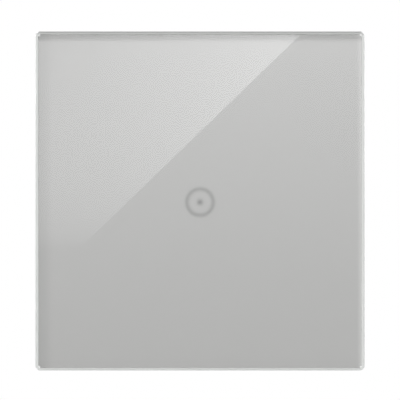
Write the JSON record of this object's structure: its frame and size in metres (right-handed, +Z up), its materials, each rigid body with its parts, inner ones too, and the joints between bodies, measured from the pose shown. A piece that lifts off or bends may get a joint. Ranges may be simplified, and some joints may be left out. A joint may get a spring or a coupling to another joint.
{
  "type": "touch light switch",
  "caption": "Wall touch light switch: a flat grey glass panel with a ring and dot icon, plugged on to a flush relay module with box claws and screw terminals.",
  "frame": {"origin": "middle of the two box screw holes on the rear face of the mounting plate, which is the wall plane", "axes": "+X to the right seen from the room, +Y into the wall, +Z up"},
  "size_m": [0.085, 0.0386, 0.0876],
  "materials": {
    "glass": "clear, ground bevels",
    "lacquer": "satin grey lacquer",
    "icon": "translucent grey",
    "tape": "matt foam",
    "carrier": "fine texture",
    "steel": "zinc plated",
    "housing": "fine texture",
    "dark_plastic": "fine texture",
    "terminal_plastic": "fine texture",
    "board": "solder mask",
    "brass": "plain",
    "spring_steel": "gold plated",
    "clear_plastic": "clear moulded",
    "chip": "moulded epoxy",
    "led": "clear cap",
    "passive": "ceramic",
    "film_yellow": "moulded case",
    "sleeve": "shrink sleeve",
    "fuse_brown": "moulded case",
    "varistor_blue": "dipped epoxy",
    "copper": "enamelled wire",
    "relay_case": "moulded case",
    "yoke": "nickel plated iron"
  },
  "bodies": {
    "base": {"mounting_plate": "steel", "module_housing": "housing", "module_screws": "steel", "front_cover": "dark_plastic", "sensor_board": "board", "sensor_screws": "steel", "touch_spring": "spring_steel", "electrode_ring": "brass", "light_guide": "clear_plastic", "indicator_leds": "led", "touch_chip": "chip", "sensor_passives": "passive", "board_header": "dark_plastic", "header_pins": "brass", "board_socket": "dark_plastic", "power_board": "board", "power_screws": "steel", "converter_chip": "chip", "bridge_rectifier": "chip", "filter_capacitor": "film_yellow", "bulk_capacitor": "sleeve", "fuse": "fuse_brown", "varistor": "varistor_blue", "inductor": "copper", "relay_base": "dark_plastic", "relay_cover": "relay_case", "relay_coil": "copper", "relay_yoke": "yoke", "relay_fixed_contact": "brass", "claw_guide_left": "housing", "claw_guide_right": "housing", "terminal_bars": "brass", "terminal_block_1": "terminal_plastic", "terminal_block_2": "terminal_plastic", "terminal_block_3": "terminal_plastic"},
    "front_panel": {"glass_panel": "glass", "back_lacquer": "lacquer", "icon_ring_window": "icon", "icon_dot_window": "icon", "adhesive_frame": "tape", "panel_carrier": "carrier"},
    "left_drive": {"claw_screw_left": "steel", "claw_clip_left": "steel"},
    "left_nut": {"claw_nut_left": "steel"},
    "left_grip": {"claw_left": "steel"},
    "right_drive": {"claw_screw_right": "steel", "claw_clip_right": "steel"},
    "right_nut": {"claw_nut_right": "steel"},
    "right_grip": {"claw_right": "steel"},
    "clamp_screw_1": {"terminal_screw_1": "steel"},
    "clamp_cage_1": {"terminal_cage_1": "steel"},
    "clamp_screw_2": {"terminal_screw_2": "steel"},
    "clamp_cage_2": {"terminal_cage_2": "steel"},
    "clamp_screw_3": {"terminal_screw_3": "steel"},
    "clamp_cage_3": {"terminal_cage_3": "steel"},
    "armature": {"relay_armature": "yoke", "relay_moving_contact": "brass"}
  },
  "joints": [
    {"name": "panel_release", "type": "slide", "parent": "base", "child": "front_panel", "axis": [0, -1, 0], "range_m": [0, 0.02]},
    {"name": "claw_screw_left_turn", "type": "hinge", "parent": "base", "child": "left_drive", "pos_m": [-0.025, 0, 0], "axis": [0, 1, 0], "range_deg": [0, 4320]},
    {"name": "claw_nut_left_travel", "type": "slide", "parent": "base", "child": "left_nut", "axis": [0, -1, 0], "range_m": [0, 0.006]},
    {"name": "claw_left_spread", "type": "slide", "parent": "base", "child": "left_grip", "axis": [-0.4472, -0.8944, 0], "range_m": [0, 0.00671]},
    {"name": "claw_screw_right_turn", "type": "hinge", "parent": "base", "child": "right_drive", "pos_m": [0.025, 0, 0], "axis": [0, 1, 0], "range_deg": [0, 4320]},
    {"name": "claw_nut_right_travel", "type": "slide", "parent": "base", "child": "right_nut", "axis": [0, -1, 0], "range_m": [0, 0.006]},
    {"name": "claw_right_spread", "type": "slide", "parent": "base", "child": "right_grip", "axis": [0.4472, -0.8944, 0], "range_m": [0, 0.00671]},
    {"name": "terminal_screw_1_turn", "type": "hinge", "parent": "base", "child": "clamp_screw_1", "pos_m": [-0.0085, 0.0222, -0.018], "axis": [0, -1, 0], "range_deg": [0, 1800]},
    {"name": "terminal_cage_1_rise", "type": "slide", "parent": "base", "child": "clamp_cage_1", "axis": [0, 1, 0], "range_m": [0, 0.0025]},
    {"name": "terminal_screw_2_turn", "type": "hinge", "parent": "base", "child": "clamp_screw_2", "pos_m": [0, 0.0222, -0.018], "axis": [0, -1, 0], "range_deg": [0, 1800]},
    {"name": "terminal_cage_2_rise", "type": "slide", "parent": "base", "child": "clamp_cage_2", "axis": [0, 1, 0], "range_m": [0, 0.0025]},
    {"name": "terminal_screw_3_turn", "type": "hinge", "parent": "base", "child": "clamp_screw_3", "pos_m": [0.0085, 0.0222, -0.018], "axis": [0, -1, 0], "range_deg": [0, 1800]},
    {"name": "terminal_cage_3_rise", "type": "slide", "parent": "base", "child": "clamp_cage_3", "axis": [0, 1, 0], "range_m": [0, 0.0025]},
    {"name": "relay_armature_pull", "type": "hinge", "parent": "base", "child": "armature", "pos_m": [-0.0076, 0.02215, 0.01465], "axis": [0, 0, -1], "range_deg": [0, 5], "stiffness_Nm_per_rad": 0.002}
  ],
  "couplings": [
    {"joint": "claw_screw_left_turn", "follows": "claw_nut_left_travel", "rad_per_m": 12566},
    {"joint": "claw_left_spread", "follows": "claw_nut_left_travel", "ratio": 1.118},
    {"joint": "claw_screw_right_turn", "follows": "claw_nut_right_travel", "rad_per_m": 12566},
    {"joint": "claw_right_spread", "follows": "claw_nut_right_travel", "ratio": 1.118},
    {"joint": "terminal_screw_1_turn", "follows": "terminal_cage_1_rise", "rad_per_m": 12566},
    {"joint": "terminal_screw_2_turn", "follows": "terminal_cage_2_rise", "rad_per_m": 12566},
    {"joint": "terminal_screw_3_turn", "follows": "terminal_cage_3_rise", "rad_per_m": 12566}
  ]
}
